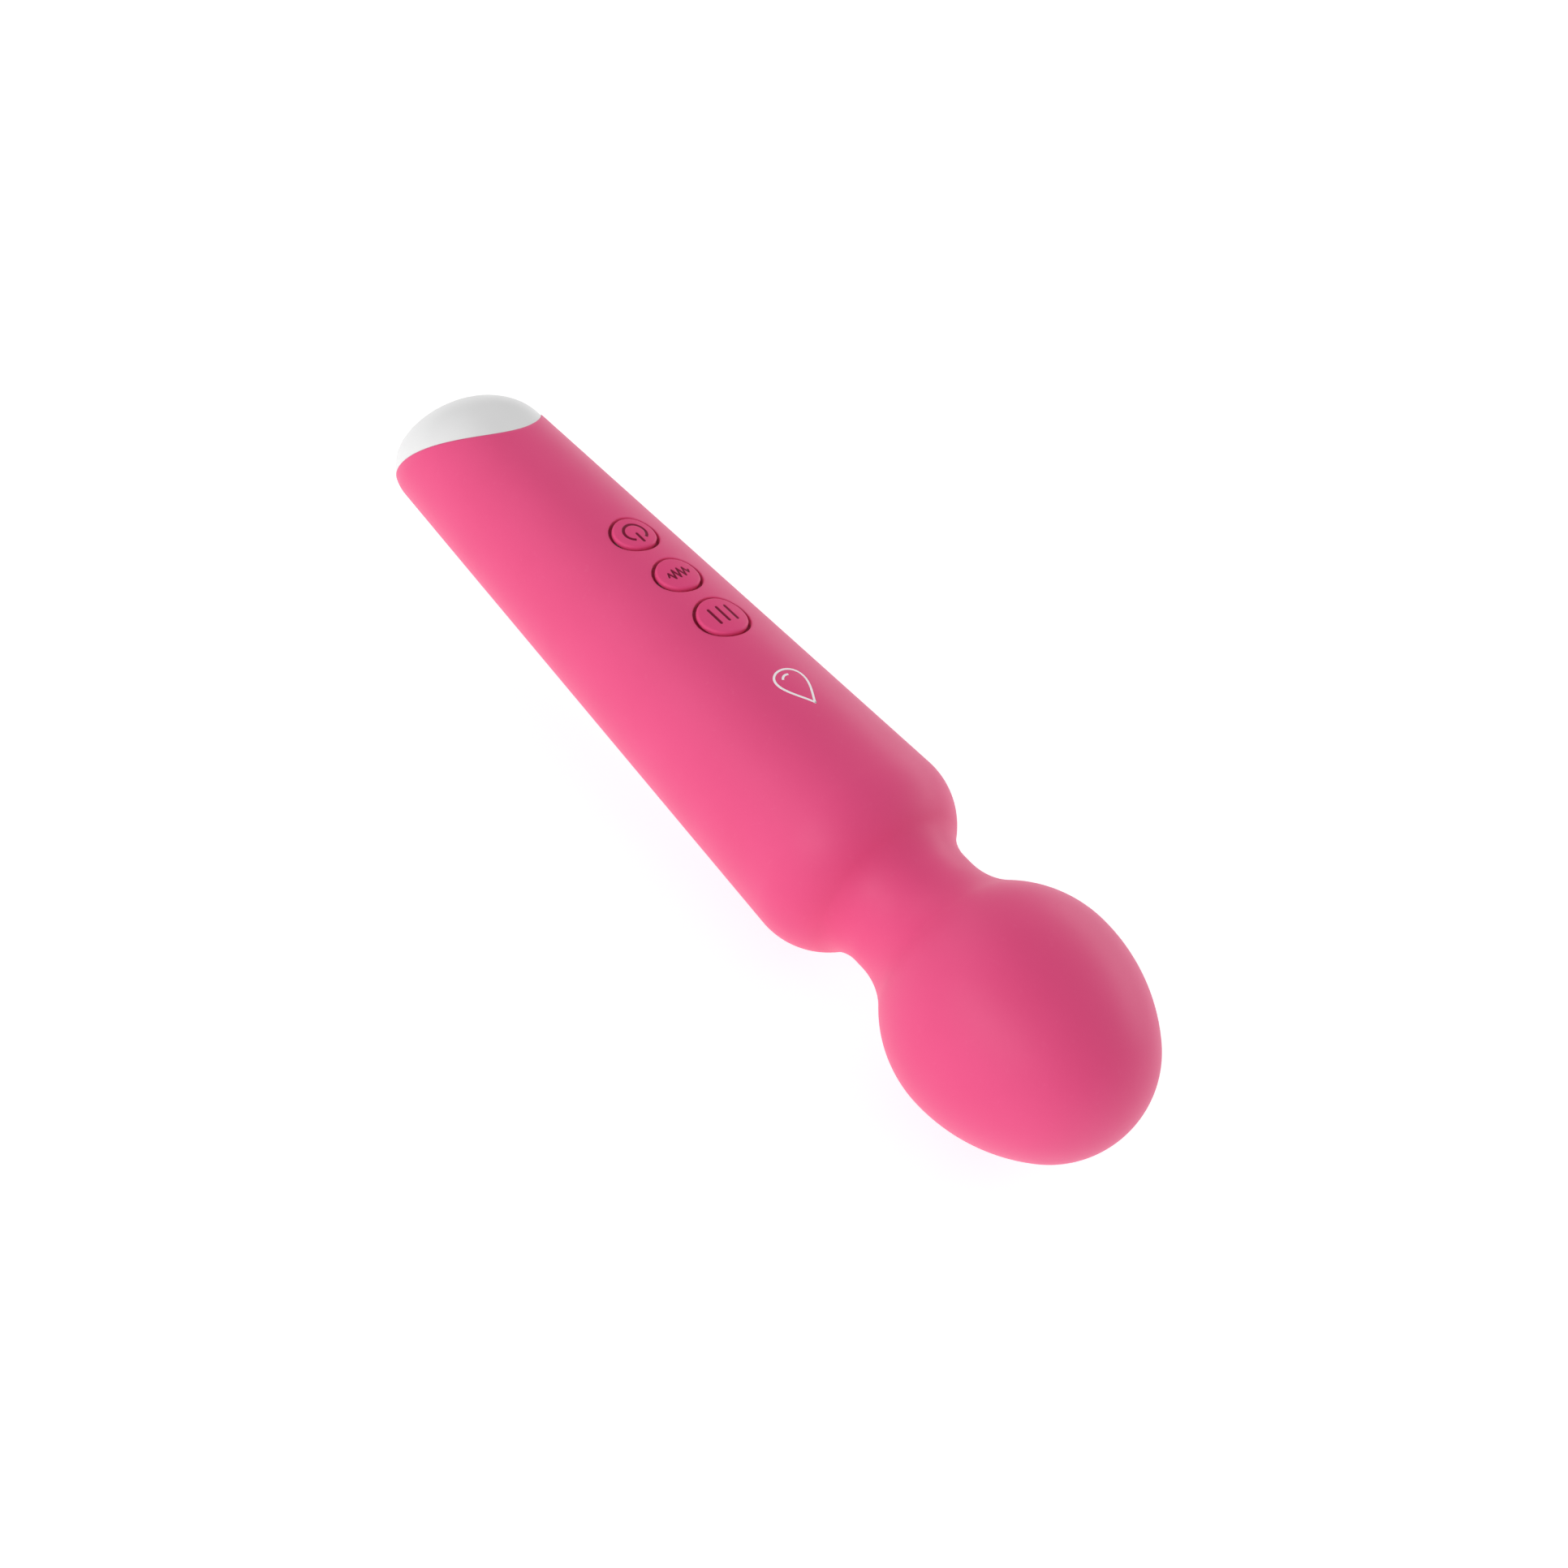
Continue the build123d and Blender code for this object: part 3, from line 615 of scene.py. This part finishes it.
sleeve.join_all(inner_tail + inner_rows[:1])
sleeve.join_all(inner_rows[-1:] + inner_neck)
sleeve.join(rim_rows[0], inner_tail[0])
sleeve.join(outer_neck[-1], inner_neck[-1])
for x, radius, outside, inside in zip(button_x, well_radii, outer_squares, inner_squares):
    lip = [(radius + out, depth) for out, depth in groove_lip]
    floor = [(radius, 1.75), (radius - 0.25, well_floor), (key_hole_radius, well_floor)]
    top_hole = well(sleeve, outside, x, lip + floor)
    bottom_hole = well(sleeve, inside, x, [(key_hole_radius + 0.6, 0.0), (key_hole_radius, 0.0)], sleeve_wall)
    sleeve.join(top_hole, bottom_hole)
handle_sleeve = sleeve.made("handle_sleeve", pink_silicone)
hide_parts("handle_skin", "neck_skin")


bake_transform(handle_sleeve)


# ---------------------------------------------------------------------------------------------
# Soft sleeve of the head
# The same moulding from the middle of the neck to the nose: a long round bulb, closed at its
# end, with the same wall all over.

bulb = Skin()
bulb_outer = neck_rows(bulb, 0.0, sleeve_split_x, wand_length - 0.02)
bulb_inner = neck_rows(bulb, sleeve_wall, sleeve_split_x, wand_length - sleeve_wall - 0.05, 0.8)
bulb.join_all(bulb_outer)
bulb.join_all(bulb_inner)
bulb.join(bulb_outer[0], bulb_inner[0])
bulb.close(bulb_outer[-1], (wand_length, 0, 0))
bulb.close(bulb_inner[-1], (wand_length - sleeve_wall, 0, 0))
head_sleeve = bulb.made("head_sleeve", pink_silicone)
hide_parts("head_skin")
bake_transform(head_sleeve)


# ---------------------------------------------------------------------------------------------
# Rubber link in the neck
# One black moulding with a bore for the leads: a thick ribbed middle that bends, and a plain end
# in each metal collar. It is built in two halves that meet between the two bending places.

link_start, link_split, link_end = 134.0, 144.5, 153.0
link_bore = 2.6
link_ends = 8.3
link_middle = (139.9, 149.1)
link_middle_radius = 10.6
rib_spacing = 1.84
rib_depth = 0.45


def link_profile():
    """Outline of the link from its bore at one end, over the outside, to the other end's bore."""
    points = [(link_start, link_ends - 0.3), (link_start + 0.3, link_ends)]
    points += [(link_middle[0] - 0.01, link_ends), (link_middle[0], link_middle_radius - 0.3)]
    for x in np.arange(link_middle[0] + 0.2, link_middle[1] - 0.1, 0.115):
        wave = 0.5 - 0.5 * math.cos(2 * math.pi * (x - link_middle[0]) / rib_spacing)
        points.append((x, link_middle_radius - rib_depth * (1 - wave)))
    points += [(link_middle[1], link_middle_radius - 0.3), (link_middle[1] + 0.01, link_ends)]
    return points + [(link_end - 0.3, link_ends), (link_end, link_ends - 0.3)]


def link_half(name, low, high):
    """The part of the link between two stations, as a closed ring."""
    outside = [p for p in link_profile() if low - 1e-6 <= p[0] <= high + 1e-6]
    if low > link_start:
        outside.insert(0, (low, outside[0][1]))
    if high < link_end:
        outside.append((high, outside[-1][1]))
    bore = [(x, link_bore) for x in np.linspace(high, low, 20)]
    half = Skin()
    rows = [half.turned_row(x, radius) for x, radius in outside + bore]
    half.join_all(rows + rows[:1])
    return half.made(name, moulded_rubber, 35)


link_gap = 0.02
link_rear = link_half("neck_link_rear", link_start, link_split - link_gap)
link_front = link_half("neck_link_front", link_split + link_gap, link_end)
for piece in (link_rear, link_front):
    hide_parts("neck_core")
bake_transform(link_rear)
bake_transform(link_front)


# ---------------------------------------------------------------------------------------------
# Motor leads
# Two red silicone-insulated leads from the control board, through the bore of the rubber link,
# to the terminals of the motor. They bend with the neck, so they too are built in two halves.

lead_radius = 0.6
lead_split_x = 144.5
lead_sides = 14


def soft_route(points, steps=8):
    """The route with each corner rounded."""
    points = [np.array(p, float) for p in points]
    route = [points[0]]
    for before, corner, after in zip(points, points[1:], points[2:]):
        room = 0.4 * min(np.linalg.norm(corner - before), np.linalg.norm(after - corner))
        start = corner + (before - corner) / np.linalg.norm(before - corner) * room
        end = corner + (after - corner) / np.linalg.norm(after - corner) * room
        for part in np.linspace(0, 1, steps):
            route.append(start * (1 - part) ** 2 + corner * 2 * part * (1 - part) + end * part**2)
    return np.array(route + [points[-1]])


def close_points(route, spacing=0.5):
    """Points along a route at about this spacing."""
    points = [route[0]]
    for start, end in zip(route, route[1:]):
        parts = max(1, round(np.linalg.norm(end - start) / spacing))
        points += [start + (end - start) * i / parts for i in range(1, parts + 1)]
    return np.array(points)


def lead(skin, route):
    """A round lead along a route, closed at both ends."""
    way = np.gradient(route, axis=0)
    way /= np.linalg.norm(way, axis=1)[:, None]
    first = np.cross(way, (0.0, 0.0, 1.0))
    first /= np.linalg.norm(first, axis=1)[:, None]
    second = np.cross(way, first)
    turns = np.arange(lead_sides) * 2 * math.pi / lead_sides
    rows = [
        skin.row([p + lead_radius * (a * math.cos(t) + b * math.sin(t)) for t in turns])
        for p, a, b in zip(route, first, second)
    ]
    skin.join_all(rows)
    skin.close(rows[0], route[0])
    skin.close(rows[-1], route[-1])


leads_rear, leads_front = Skin(), Skin()
for side in (-1, 1):
    rear_route = [(101.05, 3.0 * side, 5.8), (112.0, 3.0 * side, 5.0), (126.0, 1.2 * side, 0.0)]
    lead(leads_rear, close_points(soft_route(rear_route + [(lead_split_x - link_gap, 1.2 * side, 0.0)])))
    front_route = [(154.25, 1.2 * side, 0.0), (154.25, 5.1 * side, 0.0)]
    lead(leads_front, close_points(soft_route([(lead_split_x + link_gap, 1.2 * side, 0.0)] + front_route)))
leads_rear = leads_rear.made("motor_leads_rear", red_lead)
leads_front = leads_front.made("motor_leads_front", red_lead)
for piece in (leads_rear, leads_front):
    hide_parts("motor_leads")
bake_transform(leads_rear)
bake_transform(leads_front)


# ---------------------------------------------------------------------------------------------
# End cap
# Satin white ABS moulding that closes the tail. Its slanted face has an oval recess with two
# charging contacts, and a hair gap parts its rounded rim from the sleeve.

cap_drop = 0.16
cap_wall = 2.2
cap_gap = 0.27
rim_growth = 0.25
recess_length, recess_width = 12.0, 6.0
face_stretch = math.hypot(1, tail_slant)
recess_edge = ((0.3, 0.0), (0.12, 0.02), (0.03, 0.09), (0.0, 0.2), (0.0, 0.5), (-0.03, 0.78), (-0.15, 0.9))


def recess_reach(angle, grown):
    """How far from the middle of the tail face the oval recess goes at this angle."""
    across, up = abs(math.sin(angle)), abs(math.cos(angle)) * face_stretch
    half = recess_width / 2 + grown
    flat = recess_length / 2 - recess_width / 2
    if up > 1e-9 and across * half / up <= flat:
        return half / up
    both = across**2 + up**2
    root = math.sqrt((across * flat) ** 2 - both * (flat**2 - half**2))
    return (across * flat + root) / both


def cap_columns(inset, growth, shares, first_radius):
    """Rows of the cap from a radius at each angle, or from the pole, to the parting cut."""
    rows = []
    for angle, start in zip(angles, first_radius):
        column, radius, inside = slanted_column(inset, angle)
        column = cut_column(column, inside, -growth)[0]
        if start > 0:
            column = cut_column(column, radius[: len(column)], start)[1]
        rows.append(spread(column, shares))
    return np.array(rows).transpose(1, 0, 2)


def glossy_plastic(name, body, shade, rough):
    """Smooth moulding: hardly any texture, a slow waviness and a few fine scuffs."""
    material, place = start_finish(name)
    wave = place.grain(120.0, detail=1.0)
    scuffs = place.grain(3500.0, detail=3.0).stretched(0.6, 0.9)
    sockets = {
        "Base Color": wave.between(tint(body), tint(shade)),
        "Roughness": rough + 0.1 * scuffs,
        "IOR": 1.3,
    }
    return end_finish(material, place, sockets, wave, 0.00002)


cap = Skin()
edge_rows = []
for grown, depth in recess_edge:
    reach = [recess_reach(a, grown) for a in angles]
    points = cap_columns(cap_drop, cap_gap, np.zeros(1), reach)[0]
    points += np.array([1.0, 0.0, -tail_slant]) * depth / face_stretch
    edge_rows.append(cap.row(points))
recess_lip = [recess_reach(a, recess_edge[0][0]) for a in angles]
face_rows = cap_columns(cap_drop, cap_gap - rim_growth, np.linspace(0, 1, 40)[1:], recess_lip)
outer = [cap.row(points) for points in face_rows]
rim_steps = ((0.02, 0.12), (0.07, 0.19), (0.18, 0.22))
no_start = np.zeros(columns)
rim = [
    cap.row(cap_columns(cap_drop + deeper, cap_gap, np.ones(1), no_start)[0]) for deeper, _ in rim_steps
]
inner = [cap.row(points) for points in cap_columns(cap_wall, cap_gap, np.linspace(1, 0, 30)[:-1], no_start)]
cap.join_all(edge_rows[::-1] + outer + rim + inner)
floor_centre = np.mean([cap.points[i] for i in edge_rows[-1]], axis=0)
cap.close(edge_rows[-1], ((floor_centre[0] - nose_x) / MM + wand_length, 0, (floor_centre[2] - axis_z) / MM))
cap.close(inner[-1], cap_columns(cap_wall, cap_gap, np.zeros(1), no_start)[0][0])
end_cap = cap.made("end_cap_shell", glossy_plastic("glossy_white_abs", "eeeeee", "e9e9e9", 0.34))
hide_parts("end_cap")
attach(end_cap, "handle")
give(worked_steel("gold_plate", "e0b15a", "c99a45", 0.22), "charge_contacts")


# ---------------------------------------------------------------------------------------------
# Buttons
# Three round pads of the same silicone, slightly domed, each in its own ring groove. Their signs
# are sunk and darker: power, a wave for the pattern, and three bars for the speed.

button_gap = 0.6
button_rise = 0.42
button_dome = 0.06
bevel_width, bevel_drop = 0.42, 0.3
press_room = 0.3
sign_depth = 0.12
sign_width, wave_width = 0.58, 0.4
power_ring_radius = 2.15
line_softness = 0.07
spokes = 240
rings = 56


def line_mask(distance, width):
    """1 within a line of this width and 0 outside it."""
    return np.clip((width / 2 - distance) / line_softness + 0.5, 0, 1)


def from_stroke(x, y, start, end):
    """Distance of places from a straight stroke."""
    (ax, ay), (bx, by) = start, end
    length = (bx - ax) ** 2 + (by - ay) ** 2
    part = np.clip(((x - ax) * (bx - ax) + (y - ay) * (by - ay)) / length, 0, 1)
    return np.hypot(x - ax - part * (bx - ax), y - ay - part * (by - ay))


def strokes(x, y, points, width):
    return np.max([line_mask(from_stroke(x, y, a, b), width) for a, b in zip(points, points[1:])], axis=0)


def power_sign(x, y):
    """A ring with a gap towards the head and a bar in the gap."""
    ring = line_mask(np.abs(np.hypot(x, y) - power_ring_radius), sign_width)
    ring *= np.abs(np.arctan2(y, x)) > math.radians(30)
    return np.maximum(ring, strokes(x, y, [(0.5, 0), (2.65, 0)], sign_width))


def pattern_sign(x, y):
    """A zigzag wave across the button."""
    wave = [(0.3, -2.3), (-0.6, -1.9), (1.1, -1.35), (-1.1, -0.8), (1.15, -0.25)]
    wave += [(-1.15, 0.35), (1.1, 0.9), (-1.0, 1.5), (0.5, 2.0), (-0.1, 2.3)]
    return strokes(x, y, wave, wave_width)


def speed_sign(x, y):
    """Three bars along the wand."""
    bars = [((-2.1, -1.75), (1.6, -1.75)), ((-2.1, 0.1), (1.6, 0.1)), ((-1.9, 1.9), (1.8, 1.9))]
    return np.max([line_mask(from_stroke(x, y, a, b), sign_width) for a, b in bars], axis=0)


def button_silicone(name):
    """The sleeve's silicone, with the sunk signs filled in dark magenta."""
    material, place = start_finish(name)
    sign = place.node("Attribute", {"attribute_name": "sign"}, {}, output="Fac")
    skin_marks = place.grain(5200.0, detail=2.0)
    bloom = place.grain(60.0, detail=3.0)
    body = bloom.between(tint("ec4c85"), tint("e84880"))
    sockets = {
        "Base Color": sign.between(body, tint("7c0030")),
        "Roughness": 0.5 + 0.16 * (skin_marks - 0.5),
        "IOR": 1.3,
        "Sheen Weight": 0.06,
        "Sheen Roughness": 0.5,
        "Sheen Tint": tint("ffc4d8"),
    }
    return end_finish(material, place, sockets, skin_marks, 0.00001)


signed_silicone = button_silicone("button_silicone_with_sign")
button_signs = (power_sign, pattern_sign, speed_sign)
for button, x, hole, sign in zip(("power", "pattern", "speed"), button_x, well_radii, button_signs):
    pad = Skin()
    edge = hole - button_gap
    bearings = np.arange(spokes) * 2 * math.pi / spokes
    marks = []
    pad_rows = []
    for radius in np.linspace(0.06, edge, rings):
        along, side = radius * np.cos(bearings), radius * np.sin(bearings)
        mark = sign(along, side)
        beyond = max(0.0, radius - edge + bevel_width) / bevel_width
        lift = button_rise - button_dome * (radius / edge) ** 2 - bevel_drop * beyond**2.5
        tops = [on_handle(x + a, s) for a, s in zip(along, side)]
        height = lift - sign_depth * mark
        pad_rows.append(pad.row([(px, py, pz + h) for (px, py, pz), h in zip(tops, height)]))
        marks += list(mark)
    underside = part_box(button + "_button")[0].z
    low = (underside - axis_z) / MM + press_room
    for radius, level in ((edge, low + 0.2), (edge - 0.2, low)):
        pad_rows.append(pad.row([(x + radius * math.cos(b), radius * math.sin(b), level) for b in bearings]))
        marks += [0.0] * spokes
    pad.join_all(pad_rows)
    middle_mark = float(sign(np.zeros(1), np.zeros(1))[0])
    pad.close(pad_rows[0], (x, 0, on_handle(x, 0)[2] + button_rise - sign_depth * middle_mark))
    pad.close(pad_rows[-1], (x, 0, low))
    marks += [middle_mark, 0.0]
    piece = pad.made(button + "_button_pad", signed_silicone)
    layer = piece.data.attributes.new("sign", "FLOAT", "POINT")
    layer.data.foreach_set("value", np.array(marks, dtype=np.float32))
    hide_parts(button + "_button")
    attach(piece, button + "_button")


# ---------------------------------------------------------------------------------------------
# Printed mark
# A plain drop outline in pale ink, screen printed on the handle between the buttons and the
# neck. The ink stands a few hundredths of a millimetre proud.

drop_x = 104.4
drop_length = 9.4
drop_breadth = 4.3
ink_width = 0.5
ink_height = 0.05
glint_middle, glint_radius = -1.9, 1.45
glint_span = (math.radians(115), math.radians(200))


def pale_ink(name):
    """Opaque silicone ink with the screen's fine mesh in it."""
    material, place = start_finish(name)
    mesh_marks = place.grain(4200.0, detail=2.0)
    sockets = {
        "Base Color": mesh_marks.between(tint("fff4f8"), tint("ffffff")),
        "Roughness": 0.42 + 0.2 * mesh_marks,
        "IOR": 1.45,
    }
    return end_finish(material, place, sockets, mesh_marks, 0.000006)


def drop_line(count=120):
    """A drop with its round end towards the tail and its point towards the head."""
    turns = np.arange(count) * 2 * math.pi / count
    along = -np.cos(turns) * drop_length / 2
    side = drop_breadth * np.sin(turns) * ((1 + np.cos(turns)) / 2) ** 0.75
    return np.stack([along, side], axis=1)


def ink_band(ink, line, closed):
    """A raised line of ink along a path of places relative to the mark's middle."""
    ahead = np.roll(line, -1, axis=0) if closed else np.vstack([line[1:], 2 * line[-1] - line[-2]])
    behind = np.roll(line, 1, axis=0) if closed else np.vstack([2 * line[0] - line[1], line[:-1]])
    way = ahead - behind
    way /= np.linalg.norm(way, axis=1)[:, None]
    across = np.stack([-way[:, 1], way[:, 0]], axis=1) * ink_width / 2
    section = ((-1.0, -0.1), (-0.8, ink_height), (0.8, ink_height), (1.0, -0.1))
    rows = []
    for offset, height in section:
        places = line + across * offset
        tops = [on_handle(drop_x + a, s) for a, s in places]
        rows.append(ink.row([(px, py, pz + height) for px, py, pz in tops]))
    for lower, upper in zip(rows, rows[1:] + rows[:1]):
        for i in range(len(line) if closed else len(line) - 1):
            j = (i + 1) % len(line)
            ink.faces.append((lower[i], lower[j], upper[j], upper[i]))
    if not closed:
        ink.faces.append([row[0] for row in rows])
        ink.faces.append([row[-1] for row in rows[::-1]])


ink = Skin()
ink_band(ink, drop_line(), True)
glint = np.linspace(*glint_span, 24)
glint_line = [glint_middle + glint_radius * np.cos(glint), -glint_radius * np.sin(glint)]
ink_band(ink, np.stack(glint_line, axis=1), False)
printed_mark = ink.made("printed_drop_mark", pale_ink("pale_print_ink"))
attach(printed_mark, "handle")


# ---------------------------------------------------------------------------------------------
# Floor, light and camera
# A plain white sweep that glows a little, under a large soft light from the near side, a narrow
# one from the far side, a faint one from the tail and a pale surrounding.

floor_mesh = bpy.data.meshes.new("floor")
floor_reach = 40.0
floor_corners = [(floor_reach * a, floor_reach * b, 0) for a, b in ((-1, -1), (1, -1), (1, 1), (-1, 1))]
floor_mesh.from_pydata(floor_corners, [], [(0, 1, 2, 3)])
floor = bpy.data.objects.new("floor", floor_mesh)
bpy.context.scene.collection.objects.link(floor)
paper, place = start_finish("white_paper")
fibres = place.grain(800.0, detail=4.0)
paper_look = {
    "Base Color": fibres.between(tint("b4b4b4"), tint("bcbcbc")),
    "Roughness": 0.9,
    "Emission Color": tint("ffffff"),
    "Emission Strength": 0.76,
}
end_finish(paper, place, paper_look, fibres, 0.00001)
floor_mesh.materials.append(paper)


def panel_light(name, place, target, width, height, power):
    """A soft rectangular light that faces the target."""
    data = bpy.data.lights.new(name, "AREA")
    data.shape = "RECTANGLE"
    data.size, data.size_y, data.energy = width, height, power
    lamp = bpy.data.objects.new(name, data)
    lamp.location = place
    lamp.rotation_euler = (Vector(target) - Vector(place)).to_track_quat("-Z", "Y").to_euler()
    bpy.context.scene.collection.objects.link(lamp)


wand_middle = (0.0, 0.0, axis_z)
panel_light("near_side_panel", (0.0, -2.0, 1.0), wand_middle, 2.4, 1.0, 21.0)
panel_light("far_side_panel", (0.0, 1.9, 0.7), wand_middle, 2.4, 0.5, 16.0)
panel_light("tail_side_panel", (-2.0, -0.6, 1.2), wand_middle, 1.8, 1.2, 5.0)
world = bpy.data.worlds.new("pale_surrounding")
world.use_nodes = True
world.node_tree.nodes["Background"].inputs["Color"].default_value = (1, 1, 1, 1)
world.node_tree.nodes["Background"].inputs["Strength"].default_value = 0.44
bpy.context.scene.world = world
bpy.context.scene.view_settings.view_transform = "Standard"

eye = Vector((0.24882, -0.32938, 0.38617))
aim = Vector((0.010284, -0.000563, 0.02159))
roll = math.radians(-43.98)
back = (eye - aim).normalized()
level = Vector((-1, 0, 0)).cross(back).normalized()
upright = back.cross(level)
right = math.cos(roll) * level + math.sin(roll) * upright
up = -math.sin(roll) * level + math.cos(roll) * upright
lens = bpy.data.cameras.new("studio_camera")
lens.lens = 70.86
lens.sensor_width = 36.0
lens.clip_start = 0.01
camera = bpy.data.objects.new("studio_camera", lens)
turned = Matrix((right, up, back)).transposed().to_4x4()
turned.translation = eye
camera.matrix_world = turned
bpy.context.scene.collection.objects.link(camera)
bpy.context.scene.camera = camera
